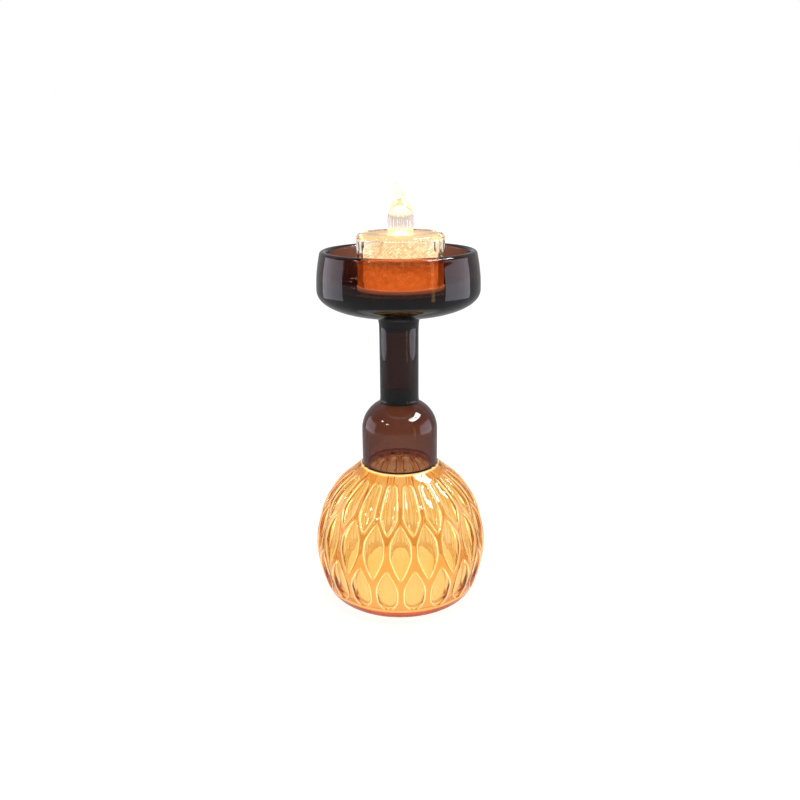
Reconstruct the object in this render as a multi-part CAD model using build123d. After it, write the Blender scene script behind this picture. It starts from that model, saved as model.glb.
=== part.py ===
from build123d import *

import os
from math import atan2, cos, degrees, hypot, pi, sin

# A glass tealight holder on a globe foot, with a battery tealight standing loose in its dish.
# Millimetres, +Z up, origin at the middle of the globe's foot on the table, front at -Y.

# ---- Glass holder ----
GLOBE_H = 63.7                 # foot to mouth
GLOBE_FOOT_R = 27.7            # flat ring that stands on the table
GLOBE_MOUTH_R = 17.5
GLOBE_WALL = 4.0
# Outer outline above the foot as (radius, height): rounded heel, belly, shoulder.
GLOBE_OUTLINE = [
    (33.4, 2.4), (35.3, 5.4), (37.2, 12.0), (39.15, 21.0), (38.8, 29.6),
    (37.1, 38.1), (33.4, 46.6), (27.5, 54.5), (20.9, 60.1),
]
INSIDE_STEPS = (0.16, 0.24, 0.34, 0.45, 0.56, 0.67, 0.78, 0.9)
LEAVES = 20                    # leaf scoops in each row round the globe
LEAF_DEPTH = 1.2
CUTTER_REACH = 3.0
# Each row of scoops: lower end, upper end, full width, and its turn in parts of the pitch.
LEAF_ROWS = [(8.6, 28.1, 8.6, 0.5), (23.1, 47.0, 8.8, 0.0), (42.1, 57.5, 7.2, 0.5)]

BOND = 0.25                    # film of clear adhesive between two glass parts
DOME_R = 17.05
DOME_WALL = 2.0
DOME_STRAIGHT = 15.6           # height of the dome's cylindrical skirt
DOME_CAP = 14.9                # height its cap would have if it closed to a point
DOME_POWER = 2.13              # squareness of the cap's curve, 2 being an ellipse
DOME_SEAT_R = 9.2              # flat on top of the dome, which carries the stem

STEM_R = 8.65
STEM_TOP_FLARE = 1.4
STEM_TOP_FLARE_H = 5.0
STEM_FOOT_FLARE = 0.35
STEM_FOOT_FLARE_H = 1.0
STEM_BOTTOM_Z = 92.7
STEM_TOP_Z = 131.45
STEM_BORE_R = 5.6              # sealed air space inside the stem
STEM_BORE_Z = (97.4, 126.6)
STEM_BORE_ROUND = 2.2

DISH_BOTTOM_Z = STEM_TOP_Z + BOND
DISH_R = 35.3                  # belly
DISH_BELLY_H = 11.9
DISH_POWER = 2.3
DISH_SEAT_R = 11.0             # flat under the dish, on the stem
DISH_SHOULDER_R = 33.7
DISH_SHOULDER_Z = 158.1
DISH_WALL_MIDDLE = (34.95, 150.9)
LIP_R = 1.65                   # rounded rim
DISH_FLOOR_Z = 140.8
DISH_FLOOR_R = 27.0
DISH_INNER_R = 31.5
DISH_INNER_CORNER_H = 5.0

# ---- Battery tealight, heights from its own underside ----
TEALIGHT_X = 1.0               # it stands a little to the right of the dish's middle
REST_GAP = 0.05
TEALIGHT_Z = DISH_FLOOR_Z + REST_GAP
CANDLE_R = 19.0
FLANGE_T = 3.0                 # base flange, and the seam with the clear shell above it
SHELL_TOP = 26.2
SHELL_INNER_R = 16.2
SHELL_ROUND = 2.0
POOL_R = 15.0                  # shallow melt pool in the top
POOL_DEPTH = 0.7
SHELL_TOP_T = 1.5
LINER_R = 16.0
LINER_WALL = 0.8
LINER_TOP = 24.6

FLAME_HOLE_R = 5.7
FLAME_NECK_R = 5.4
FLAME_NECK_TOP = 27.2
# Sections above the neck as (radius, height, x): belly, shoulder, and a tip that leans to the left.
FLAME_SECTIONS = [
    (5.6, 31.0, 0.0), (4.8, 35.5, 0.1), (3.5, 38.4, 0.0),
    (2.0, 41.7, -0.7), (1.2, 45.2, -1.35), (0.3, 46.5, -1.45),
]
FLAME_FLANGE_R = 8.0
FLAME_FLANGE_Z = (22.2, 23.6)
FLAME_SOCKET_R = 3.1
FLAME_SOCKET_Z = 29.0

LAMP_R = 2.5                   # 5 mm LED
LAMP_RIM_R = 2.9
LAMP_Z = 18.8
LAMP_TOP = 27.4
LAMP_RIM_T = 1.0
LEAD_PITCH = 2.54
LEAD_W = 0.5
LEAD_BOTTOM = 9.1
PILLAR_R = 3.7
PILLAR_BORE_R = 2.1

DRUM_R = 15.0                  # inner drum of the base cup, inside the liner
DRUM_TOP = 11.0
DRUM_WALL = 1.4
DECK_Z = (7.2, 8.4)            # ceiling of the battery bay
BAY_Y = 2.8                    # battery bay and door stand behind the middle
BAY_R = 10.7

DOOR_R = 10.9
DOOR_Z = (0.4, 1.85)
DOOR_LUG_R = 12.3
DOOR_LUG_Z = (1.1, 1.85)
DOOR_LUG_ANGLE = 30.0
DOOR_HOLE_R = 11.1
DOOR_GROOVE_R = 12.5
DOOR_LEDGE_T = 1.0
DOOR_TURN = 30.0               # from shut to free
DOOR_LUG_SPARE = 3.0           # how much wider the gaps for the lugs are than the lugs
COIN_SLOT = (9.0, 1.7, 0.7)

CELL_R = 10.0                  # CR2032 size coin cell, 3.2 mm thick
CELL_Z = (2.05, 5.25)
CELL_CAP_R = 8.7
CELL_CAP_ROUND = 0.3
CELL_GASKET_R = 9.4
CELL_CAN_FLOOR = 2.3

SWITCH_Y = -10.25
SWITCH_CASE = (8.6, 3.6, 3.5)
SWITCH_Z = 1.95
SWITCH_RECESS = (9.0, 3.2, 0.9)
SWITCH_TRACK_Z = (2.1, 3.3)    # space in the case in which the knob's foot slides
KNOB = (2.2, 1.6)
KNOB_FOOT = (3.2, 1.9, 0.8)
KNOB_FOOT_Z = 2.2
KNOB_TRAVEL = 2.0
KNOB_Z = 0.45
KNOB_GROOVE = (0.3, 3.2, 0.25)
KNOB_GROOVE_PITCH = 0.6
TERMINAL = (0.5, 0.3, 2.4)
TERMINAL_PITCH = 2.5

SIDE_CONTACT_T = 0.3
SIDE_CONTACT_W = 3.0
SIDE_CONTACT_Z = (2.45, 9.45)
SIDE_CONTACT_X = CELL_R + SIDE_CONTACT_T / 2 + 0.02
SPRING_T = 0.25
SPRING_W = 3.0
SPRING_HALF_SPAN = 5.2
SPRING_TAIL_TOP = 9.3
SLOT_SPARE = 0.4               # play round a contact where it passes the deck
WIRE_R = 0.45
WIRE_BEND_R = 0.9
WIRE_RUN_Z = SIDE_CONTACT_Z[1] + WIRE_R + 0.02
SCREW_RING_R = 17.45
SCREW_ANGLES = (90.0, 210.0, 330.0)
SCREW_R = 0.7
SCREW_HEAD_R = 1.3
SCREW_HEAD_Z = (0.5, 1.58)
SCREW_TOP = 6.6
SCREW_CROSS = (1.8, 0.35, 0.45)
SCREW_PLAY = 0.1
PILOT_PLAY = 0.03
PILOT_SPARE = 0.3

NODES = {}


def node(name, shape):
    """Keeps a finished piece under its name."""
    NODES[name] = shape


def ring(outer_r, inner_r, bottom, top):
    """A plain ring about the Z axis."""
    height = top - bottom
    body = Cylinder(outer_r, height, align=(Align.CENTER, Align.CENTER, Align.MIN))
    hole = Cylinder(inner_r, height, align=(Align.CENTER, Align.CENTER, Align.MIN))
    return Pos(0, 0, bottom) * (body - hole)


def disc(radius, bottom, top, x=0.0, y=0.0):
    """A plain disc or rod standing on the height bottom."""
    return Pos(x, y, bottom) * Cylinder(radius, top - bottom, align=(Align.CENTER, Align.CENTER, Align.MIN))


def block(size, bottom, x=0.0, y=0.0):
    """A rectangular block standing on the height bottom."""
    return Pos(x, y, bottom) * Box(*size, align=(Align.CENTER, Align.CENTER, Align.MIN))


def turned(edges):
    """A solid of revolution about Z from a closed outline in the XZ plane."""
    return revolve(make_face(edges), Axis.Z, 360)


def at(points):
    """Points given as (radius, height), placed in the XZ plane."""
    return [Vector(r, 0, z) for r, z in points]


def cap_radius(height, radius, full_height, power):
    """Radius of a superellipse cap at a height above its widest circle."""
    return radius * (1 - (height / full_height) ** power) ** (1 / power)


# ---------------------------------------------------------------- glass holder


def globe_outline():
    """The outer curve of the globe from its foot to its mouth."""
    return at([(GLOBE_FOOT_R, 0), *GLOBE_OUTLINE, (GLOBE_MOUTH_R, GLOBE_H)])


def inside_of(outer):
    """The globe's inner curve: its outer one moved in by the wall, from the floor to the mouth."""
    points = [Vector(GLOBE_FOOT_R - 1.5, 0, GLOBE_WALL)]
    for step in INSIDE_STEPS:
        along = outer % step
        inward = Vector(-along.Z, 0, along.X)
        points.append(outer @ step + inward * GLOBE_WALL)
    return [*points, Vector(GLOBE_MOUTH_R - GLOBE_WALL, 0, GLOBE_H)]


def leaf_cutter(low_z, high_z, width, curve):
    """A V-shaped bar bent along the globe, which cuts one pointed leaf at azimuth 0 (+X).

    Its ridge is an arc through the two ends of the leaf on the surface and a point LEAF_DEPTH
    below the surface halfway between them.
    """
    low, high = surface_at(curve, low_z), surface_at(curve, high_z)
    middle_z = (low_z + high_z) / 2
    on_surface = surface_at(curve, middle_z)
    along = atan2(high[1] - low[1], high[0] - low[0])
    inward = (-sin(along), cos(along))
    if inward[0] > 0:
        inward = (-inward[0], -inward[1])
    deepest = (on_surface[0] + inward[0] * LEAF_DEPTH, on_surface[1] + inward[1] * LEAF_DEPTH)
    centre, radius = circle_through(low, deepest, high)
    bends_with_globe = centre[0] < low[0]
    outward = CUTTER_REACH if bends_with_globe else -CUTTER_REACH
    half = CUTTER_REACH * width / 2 / LEAF_DEPTH
    start = atan2(low[1] - centre[1], low[0] - centre[0])
    sweep = (atan2(high[1] - centre[1], high[0] - centre[0]) - start + pi) % (2 * pi) - pi
    spare = 1.5 / radius if sweep > 0 else -1.5 / radius
    v_face = make_face(Polyline(
        (radius, 0, 0), (radius + outward, half, 0), (radius + outward, -half, 0), close=True
    ))
    bar = revolve(v_face, Axis.Y, -degrees(sweep + 2 * spare))
    return Pos(centre[0], 0, centre[1]) * Rot(0, -degrees(start - spare), 0) * bar


def surface_at(curve, height):
    """The (radius, height) point of the globe's curve at a height."""
    low, high = 0.0, 1.0
    for _ in range(40):
        middle = (low + high) / 2
        if (curve @ middle).Z < height:
            low = middle
        else:
            high = middle
    return ((curve @ low).X, height)


def circle_through(a, b, c):
    """Centre and radius of the circle through three points."""
    ax, ay, bx, by, cx, cy = *a, *b, *c
    d = 2 * (ax * (by - cy) + bx * (cy - ay) + cx * (ay - by))
    ux = ((ax**2 + ay**2) * (by - cy) + (bx**2 + by**2) * (cy - ay) + (cx**2 + cy**2) * (ay - by)) / d
    uy = ((ax**2 + ay**2) * (cx - bx) + (bx**2 + by**2) * (ax - cx) + (cx**2 + cy**2) * (bx - ax)) / d
    return (ux, uy), hypot(ax - ux, ay - uy)


def globe():
    """Pressed amber glass globe, hollow and open at the mouth, with three rows of leaf scoops."""
    outer = Spline(globe_outline())
    inner = Spline(inside_of(outer))
    body = turned([
        outer,
        Line(outer @ 1, inner @ 1),
        inner,
        Line(inner @ 0, (0, 0, GLOBE_WALL)),
        Line((0, 0, GLOBE_WALL), (0, 0, 0)),
        Line((0, 0, 0), outer @ 0),
    ])
    pitch = 360.0 / LEAVES
    for low_z, high_z, width, turn in LEAF_ROWS:
        cutter = leaf_cutter(low_z, high_z, width, outer)
        body -= [Rot(0, 0, -90 + (i + turn) * pitch) * cutter for i in range(LEAVES)]
    return body


def dome():
    """Brown glass dome, hollow and open underneath, with a flat seat on top for the stem."""
    foot = GLOBE_H + BOND
    skirt = GLOBE_H + DOME_STRAIGHT
    seat = STEM_BOTTOM_Z - BOND
    steps = (0.0, 3.0, 6.0, 8.5, 10.7, 12.2)
    cap = [(cap_radius(h, DOME_R, DOME_CAP, DOME_POWER), skirt + h) for h in steps]
    inner_r = DOME_R - DOME_WALL
    inner_cap = DOME_CAP - DOME_WALL
    inner = [(cap_radius(h, inner_r, inner_cap, DOME_POWER), skirt + h) for h in (0.0, 3.0, 6.0, 8.5, 9.9)]
    outer_curve = Spline(at([*cap, (DOME_SEAT_R, seat)]), tangents=[(0, 0, 1), (-1, 0, 0.45)])
    inner_curve = Spline(at([*inner, (0, seat - DOME_WALL)]), tangents=[(0, 0, 1), (-1, 0, 0)])
    return turned([
        Line((DOME_R, 0, foot), outer_curve @ 0),
        outer_curve,
        Line(outer_curve @ 1, (0, 0, seat)),
        Line((0, 0, seat), inner_curve @ 1),
        inner_curve,
        Line(inner_curve @ 0, (inner_r, 0, foot)),
        Line((inner_r, 0, foot), (DOME_R, 0, foot)),
    ])


def stem():
    """Brown glass stem with a sealed air space, flared where it meets the dish."""
    flare = [
        (STEM_R, STEM_TOP_Z - STEM_TOP_FLARE_H),
        (STEM_R + STEM_TOP_FLARE / 4, STEM_TOP_Z - 0.4 * STEM_TOP_FLARE_H),
        (STEM_R + STEM_TOP_FLARE, STEM_TOP_Z),
    ]
    top_flare = Spline(at(flare), tangents=[(0, 0, 1), (1, 0, 0.9)])
    flare_top = STEM_BOTTOM_Z + STEM_FOOT_FLARE_H
    foot_flare = Line((STEM_R + STEM_FOOT_FLARE, 0, STEM_BOTTOM_Z), (STEM_R, 0, flare_top))
    outside = turned([
        Line((0, 0, STEM_BOTTOM_Z), foot_flare @ 0),
        foot_flare,
        Line(foot_flare @ 1, top_flare @ 0),
        top_flare,
        Line(top_flare @ 1, (0, 0, STEM_TOP_Z)),
        Line((0, 0, STEM_TOP_Z), (0, 0, STEM_BOTTOM_Z)),
    ])
    air = disc(STEM_BORE_R, *STEM_BORE_Z)
    air = fillet(air.edges().filter_by(GeomType.CIRCLE), STEM_BORE_ROUND)
    return outside - air


def dish():
    """Brown glass dish with a thick floor, walls that lean in slightly and a rounded rim."""
    belly_z = DISH_BOTTOM_Z + DISH_BELLY_H
    steps = (8.0, 4.0, 0.0)
    under = [(cap_radius(h, DISH_R, DISH_BELLY_H, DISH_POWER), belly_z - h) for h in steps]
    lip_inner = DISH_SHOULDER_R - 2 * LIP_R
    outer = Spline(
        at([(DISH_SEAT_R, DISH_BOTTOM_Z), *under, DISH_WALL_MIDDLE, (DISH_SHOULDER_R, DISH_SHOULDER_Z)]),
        tangents=[(1, 0, 0.02), (-0.16, 0, 1)],
    )
    rim = ThreePointArc(
        outer @ 1, (DISH_SHOULDER_R - LIP_R, 0, DISH_SHOULDER_Z + LIP_R), (lip_inner, 0, DISH_SHOULDER_Z)
    )
    inner = Spline(
        at([
            (lip_inner, DISH_SHOULDER_Z),
            (DISH_INNER_R, DISH_FLOOR_Z + DISH_INNER_CORNER_H),
            (DISH_FLOOR_R, DISH_FLOOR_Z),
        ]),
        tangents=[(0.1, 0, -1), (-1, 0, 0)],
    )
    return turned([
        outer,
        rim,
        inner,
        Line(inner @ 1, (0, 0, DISH_FLOOR_Z)),
        Line((0, 0, DISH_FLOOR_Z), (0, 0, DISH_BOTTOM_Z)),
        Line((0, 0, DISH_BOTTOM_Z), outer @ 0),
    ])


def make_holder():
    """The glass parts and the clear adhesive films between them."""
    node("globe", globe())
    node("dome", dome())
    node("stem", stem())
    node("dish", dish())
    node("dome_bond", ring(DOME_R - 0.1, DOME_R - DOME_WALL + 0.1, GLOBE_H, GLOBE_H + BOND))
    node("stem_bond", disc(STEM_R, STEM_BOTTOM_Z - BOND, STEM_BOTTOM_Z))
    node("dish_bond", disc(STEM_R + STEM_TOP_FLARE, STEM_TOP_Z, DISH_BOTTOM_Z))


# ---------------------------------------------------------------- candle


def in_candle(shape):
    """Moves a piece from the tealight's own frame to where the tealight stands in the dish."""
    return Pos(TEALIGHT_X, 0, TEALIGHT_Z) * shape


def candle_shell():
    """Thick clear shell with a shallow melt pool, open underneath, holed for the flame."""
    body = disc(CANDLE_R, FLANGE_T, SHELL_TOP)
    body = fillet(body.edges().sort_by(Axis.Z)[-1:], SHELL_ROUND)
    pool_sphere_r = (POOL_R**2 + POOL_DEPTH**2) / (2 * POOL_DEPTH)
    pool = Pos(0, 0, SHELL_TOP - POOL_DEPTH + pool_sphere_r) * Sphere(pool_sphere_r)
    inside = disc(SHELL_INNER_R, FLANGE_T, SHELL_TOP - SHELL_TOP_T)
    hole = disc(FLAME_HOLE_R, FLANGE_T, SHELL_TOP)
    pilot_r, pilot_top = SCREW_R + PILOT_PLAY, SCREW_TOP + PILOT_SPARE
    pilots = [disc(pilot_r, FLANGE_T, pilot_top, *screw_place(angle)) for angle in SCREW_ANGLES]
    return body - pool - inside - hole - pilots


def sparkle_liner():
    """Thin clear cup inside the shell, faceted all over to scatter the light."""
    wall = ring(LINER_R, LINER_R - LINER_WALL, FLANGE_T + 0.05, LINER_TOP)
    top = ring(LINER_R, FLAME_HOLE_R, LINER_TOP - LINER_WALL, LINER_TOP)
    return wall + top


def flame_lens():
    """Clear flame: a round neck and belly that draw up into a tip leaning to the left."""
    neck = disc(FLAME_NECK_R, FLAME_FLANGE_Z[0], FLAME_NECK_TOP)
    flange = disc(FLAME_FLANGE_R, *FLAME_FLANGE_Z)
    sections = [(FLAME_NECK_R, FLAME_NECK_TOP, 0.0), *FLAME_SECTIONS]
    body = loft([Pos(x, 0, z) * Circle(r) for r, z, x in sections])
    socket = disc(FLAME_SOCKET_R, FLAME_FLANGE_Z[0], FLAME_SOCKET_Z)
    return neck + flange + body - socket


def led_lamp():
    """5 mm lamp with its rim at the bottom and a domed top."""
    rim = disc(LAMP_RIM_R, LAMP_Z, LAMP_Z + LAMP_RIM_T)
    barrel = disc(LAMP_R, LAMP_Z, LAMP_TOP - LAMP_R)
    return rim + barrel + Pos(0, 0, LAMP_TOP - LAMP_R) * Sphere(LAMP_R)


def led_leads():
    """The lamp's two square leads, down through the pillar."""
    size = (LEAD_W, LEAD_W, LAMP_Z - LEAD_BOTTOM)
    return Compound(children=[block(size, LEAD_BOTTOM, x) for x in (-LEAD_PITCH / 2, LEAD_PITCH / 2)])


def screw_place(angle):
    """Place of one base screw, under the wall of the shell."""
    turn = angle * pi / 180
    return SCREW_RING_R * cos(turn), SCREW_RING_R * sin(turn)


def base_cup():
    """Moulded base: flange, drum, battery bay, switch pocket and the pillar for the lamp."""
    body = disc(CANDLE_R, 0, FLANGE_T) + disc(DRUM_R, FLANGE_T, DRUM_TOP)
    body -= disc(DRUM_R - DRUM_WALL, DECK_Z[1], DRUM_TOP)
    body += disc(PILLAR_R, DECK_Z[1], LAMP_Z)
    body -= disc(PILLAR_BORE_R, DECK_Z[1], LAMP_Z)
    body -= disc(BAY_R, 0, DECK_Z[0], 0, BAY_Y)
    body -= disc(DOOR_HOLE_R, 0, DOOR_LEDGE_T, 0, BAY_Y)
    body -= disc(DOOR_GROOVE_R, DOOR_LEDGE_T, DOOR_Z[1] + 0.1, 0, BAY_Y)
    for start in (0, 180):
        body -= door_sector(DOOR_GROOVE_R, 0, DOOR_LEDGE_T, start - DOOR_TURN, DOOR_LUG_SPARE)
    case_x, case_y, case_z = SWITCH_CASE
    body -= block((case_x + 0.3, case_y + 0.3, DRUM_TOP), SWITCH_Z - 0.05, 0, SWITCH_Y)
    body -= block((KNOB[0] + KNOB_TRAVEL + 0.6, KNOB[1] + 0.4, FLANGE_T), 0, 0, SWITCH_Y)
    body -= block(SWITCH_RECESS, 0, 0, SWITCH_Y)
    contact_slot = (SIDE_CONTACT_T + SLOT_SPARE, SIDE_CONTACT_W + SLOT_SPARE, DRUM_TOP)
    body -= block(contact_slot, SIDE_CONTACT_Z[0] - 0.1, SIDE_CONTACT_X + 0.1, BAY_Y)
    body -= block((SPRING_T + SLOT_SPARE, SPRING_W + SLOT_SPARE, DRUM_TOP), DECK_Z[0], -SPRING_HALF_SPAN, BAY_Y)
    for angle in SCREW_ANGLES:
        x, y = screw_place(angle)
        body -= disc(SCREW_R + SCREW_PLAY, 0, FLANGE_T, x, y)
        body -= disc(SCREW_HEAD_R + SCREW_PLAY, 0, SCREW_HEAD_Z[1] + 0.02, x, y)
    return body


def door_sector(radius, bottom, top, start, spare):
    """A wedge of the bay's bottom, DOOR_LUG_ANGLE wide and a little over, centred on an angle."""
    half = (DOOR_LUG_ANGLE + spare) / 2
    full = disc(radius, bottom, top, 0, BAY_Y)
    wedge = make_face(Polyline(
        (0, 0), (2 * radius * cos(half * pi / 180), -2 * radius * sin(half * pi / 180)),
        (2 * radius * cos(half * pi / 180), 2 * radius * sin(half * pi / 180)), close=True
    ))
    wedge = extrude(Pos(0, 0, bottom) * wedge, top - bottom)
    return full & (Pos(0, BAY_Y, 0) * Rot(0, 0, start) * wedge)


def battery_door():
    """Bayonet disc over the battery bay, with two lugs and a slot for a coin."""
    body = disc(DOOR_R, *DOOR_Z, 0, BAY_Y)
    for start in (0, 180):
        body += door_sector(DOOR_LUG_R, *DOOR_LUG_Z, start, 0.0)
    return body - block(COIN_SLOT, DOOR_Z[0], 0, BAY_Y)


def coin_cell():
    """The cell's can, sealing ring and cap."""
    bottom, top = CELL_Z
    rim = disc(CELL_R, bottom, top - 0.25, 0, BAY_Y)
    can = rim - disc(CELL_GASKET_R, bottom + CELL_CAN_FLOOR, top, 0, BAY_Y)
    gasket_body = disc(CELL_GASKET_R, bottom + CELL_CAN_FLOOR, top - 0.35, 0, BAY_Y)
    gasket = gasket_body - disc(CELL_CAP_R, bottom + CELL_CAN_FLOOR, top, 0, BAY_Y)
    cap = disc(CELL_CAP_R, bottom + CELL_CAN_FLOOR, top, 0, BAY_Y)
    cap = fillet(cap.edges().filter_by(GeomType.CIRCLE).sort_by(Axis.Z)[-1:], CELL_CAP_ROUND)
    return can, gasket, cap


def side_contact():
    """Bent strip that touches the side of the cell and comes up through the deck."""
    low, high = SIDE_CONTACT_Z
    upright = block((SIDE_CONTACT_T, SIDE_CONTACT_W, high - low), low, SIDE_CONTACT_X, BAY_Y)
    tab_x = SIDE_CONTACT_X - (SIDE_CONTACT_W - SIDE_CONTACT_T) / 2
    tab = block((SIDE_CONTACT_W, SIDE_CONTACT_W, SIDE_CONTACT_T), high - SIDE_CONTACT_T, tab_x, BAY_Y)
    return upright + tab


def spring_contact():
    """Leaf spring bowed down onto the cell's cap, with a tail up through the deck."""
    span, low, high = SPRING_HALF_SPAN, CELL_Z[1] + 0.02, DECK_Z[0] - SPRING_T - 0.02
    lower = ThreePointArc((-span, 0, high), (0, 0, low), (span, 0, high))
    upper = ThreePointArc((span, 0, high + SPRING_T), (0, 0, low + SPRING_T), (-span, 0, high + SPRING_T))
    outline = make_face([lower, Line(lower @ 1, upper @ 0), upper, Line(upper @ 1, lower @ 0)])
    leaf = Pos(0, BAY_Y, 0) * extrude(outline, SPRING_W / 2, dir=(0, 1, 0), both=True)
    tail = block((SPRING_T, SPRING_W, SPRING_TAIL_TOP - high), high, -span, BAY_Y)
    return leaf + tail


def switch_case():
    """Body of the slide switch, open below for the knob's foot."""
    case_x, case_y, case_z = SWITCH_CASE
    case = block((case_x, case_y, case_z), SWITCH_Z, 0, SWITCH_Y)
    track_low, track_high = SWITCH_TRACK_Z
    track = (KNOB_FOOT[0] + KNOB_TRAVEL + 0.3, KNOB_FOOT[1] + 0.2, track_high - track_low)
    slit = (KNOB[0] + KNOB_TRAVEL + 0.4, KNOB[1] + 0.2, track_low - SWITCH_Z)
    return case - block(track, track_low, 0, SWITCH_Y) - block(slit, SWITCH_Z, 0, SWITCH_Y)


def switch_terminals():
    """Three solder pins on top of the switch."""
    top = SWITCH_Z + SWITCH_CASE[2]
    pins = [block(TERMINAL, top, x, SWITCH_Y) for x in (-TERMINAL_PITCH, 0, TERMINAL_PITCH)]
    return Compound(children=pins)


def switch_knob():
    """Sliding knob, at the on end of its travel, its foot captive in the case."""
    x = KNOB_TRAVEL / 2
    foot = block(KNOB_FOOT, KNOB_FOOT_Z, x, SWITCH_Y)
    finger = block((*KNOB, KNOB_FOOT_Z - KNOB_Z), KNOB_Z, x, SWITCH_Y)
    grooves = [block(KNOB_GROOVE, KNOB_Z, x + i * KNOB_GROOVE_PITCH, SWITCH_Y) for i in (-1, 0, 1)]
    return foot + finger - grooves


def wire(points):
    """An insulated wire along straight runs with rounded corners."""
    path = FilletPolyline(*points, radius=WIRE_BEND_R)
    profile = Plane(origin=path @ 0, z_dir=path % 0) * Circle(WIRE_R)
    return sweep(profile, path=path)


def lead_wires():
    """Two short wires over the deck: switch to side contact, and switch to lamp lead."""
    start = SWITCH_Z + SWITCH_CASE[2] + TERMINAL[2]
    to_contact = wire([
        (TERMINAL_PITCH, SWITCH_Y, start),
        (TERMINAL_PITCH, SWITCH_Y, WIRE_RUN_Z),
        (8.4, -4.0, WIRE_RUN_Z),
        (8.9, BAY_Y - 0.9, WIRE_RUN_Z),
    ])
    to_lamp = wire([
        (0, SWITCH_Y, start),
        (0, SWITCH_Y, WIRE_RUN_Z),
        (0, -PILLAR_R - 0.6, WIRE_RUN_Z),
    ])
    return Compound(children=[to_contact, to_lamp])


def base_screws():
    """Small screws up through the flange into the shell."""
    screws = []
    head_z = SCREW_HEAD_Z[0]
    for angle in SCREW_ANGLES:
        x, y = screw_place(angle)
        head = disc(SCREW_HEAD_R, *SCREW_HEAD_Z, x, y)
        shank = disc(SCREW_R, SCREW_HEAD_Z[1], SCREW_TOP, x, y)
        long, wide, deep = SCREW_CROSS
        cross = block((long, wide, deep), head_z, x, y) + block((wide, long, deep), head_z, x, y)
        screws.append(head + shank - cross)
    return Compound(children=screws)


def make_candle():
    """Every piece of the battery tealight, placed in the dish."""
    can, gasket, cap = coin_cell()
    pieces = {
        "candle_shell": candle_shell(),
        "sparkle_liner": sparkle_liner(),
        "flame_lens": flame_lens(),
        "led_lamp": led_lamp(),
        "led_leads": led_leads(),
        "base_cup": base_cup(),
        "switch_case": switch_case(),
        "switch_terminals": switch_terminals(),
        "switch_knob": switch_knob(),
        "lead_wires": lead_wires(),
        "side_contact": side_contact(),
        "spring_contact": spring_contact(),
        "cell_can": can,
        "cell_gasket": gasket,
        "cell_cap": cap,
        "battery_door": battery_door(),
        "base_screws": base_screws(),
    }
    for name, shape in pieces.items():
        node(name, in_candle(shape))


make_holder()
make_candle()
os.makedirs("parts", exist_ok=True)
for name, shape in NODES.items():
    export_step(shape, f"parts/{name}.step")
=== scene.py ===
"""Glass tealight holder on a leaf-cut amber globe, with a lit battery tealight in its brown dish."""

import bpy
import numpy as np
from mathutils import Matrix, Vector


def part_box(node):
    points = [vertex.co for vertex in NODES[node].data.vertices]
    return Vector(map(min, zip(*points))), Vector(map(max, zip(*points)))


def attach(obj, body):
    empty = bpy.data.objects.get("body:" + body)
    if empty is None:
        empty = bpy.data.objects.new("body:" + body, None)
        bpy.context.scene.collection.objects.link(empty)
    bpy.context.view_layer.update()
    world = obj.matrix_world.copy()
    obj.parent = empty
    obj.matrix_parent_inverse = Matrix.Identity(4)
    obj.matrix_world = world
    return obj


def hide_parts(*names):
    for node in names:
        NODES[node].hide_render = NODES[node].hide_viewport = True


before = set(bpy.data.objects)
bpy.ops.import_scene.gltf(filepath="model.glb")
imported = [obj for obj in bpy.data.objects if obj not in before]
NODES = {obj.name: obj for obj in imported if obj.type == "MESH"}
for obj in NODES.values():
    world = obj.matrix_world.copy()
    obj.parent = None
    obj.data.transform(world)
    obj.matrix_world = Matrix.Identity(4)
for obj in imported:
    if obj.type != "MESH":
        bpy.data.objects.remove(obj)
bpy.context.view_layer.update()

MM = 0.001                      # every shape below is worked out in millimetres


# ------------------------------------------------------------------ sizes read from the frame


def corners(node):
    """Lowest and highest corner of a CAD node in millimetres."""
    low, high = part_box(node)
    return np.array(low) / MM, np.array(high) / MM


GLOBE_TOP = corners("globe")[1][2]
DOME_LOW, DOME_HIGH = corners("dome")
STEM_LOW, STEM_HIGH = corners("stem")
DISH_LOW = corners("dish")[0]
SHELL_LOW, SHELL_HIGH = corners("candle_shell")
LINER_LOW, LINER_HIGH = corners("sparkle_liner")
FLAME_LOW = corners("flame_lens")[0]
CANDLE_X = (SHELL_LOW[0] + SHELL_HIGH[0]) / 2
CANDLE_Z = corners("base_cup")[0][2]


# ------------------------------------------------------------------ curves


def smooth_curve(points, count):
    """A natural cubic spline through the points, by distance along them, at count even steps."""
    points = np.array(points, float)
    along = np.concatenate([[0], np.cumsum(np.hypot(*np.diff(points, axis=0).T))])
    step = np.diff(along)
    inner = len(points) - 2
    system = np.zeros((inner, inner))
    system[np.arange(inner), np.arange(inner)] = 2 * (step[:-1] + step[1:])
    system[np.arange(inner - 1), np.arange(1, inner)] = step[1:-1]
    system[np.arange(1, inner), np.arange(inner - 1)] = step[1:-1]
    slope = np.diff(points, axis=0) / step[:, None]
    bend = np.zeros_like(points)
    bend[1:-1] = np.linalg.solve(system, 6 * np.diff(slope, axis=0))
    at = np.linspace(0, along[-1], count)
    k = np.clip(np.searchsorted(along, at) - 1, 0, len(step) - 1)
    a, b = (along[k + 1] - at)[:, None], (at - along[k])[:, None]
    h = step[k][:, None]
    cubic = (bend[k] * a**3 + bend[k + 1] * b**3) / (6 * h)
    return cubic + (points[k] / h - bend[k] * h / 6) * a + (points[k + 1] / h - bend[k + 1] * h / 6) * b


def line(start, end, count):
    """Even steps from start to end."""
    return np.linspace(start, end, count)


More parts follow.
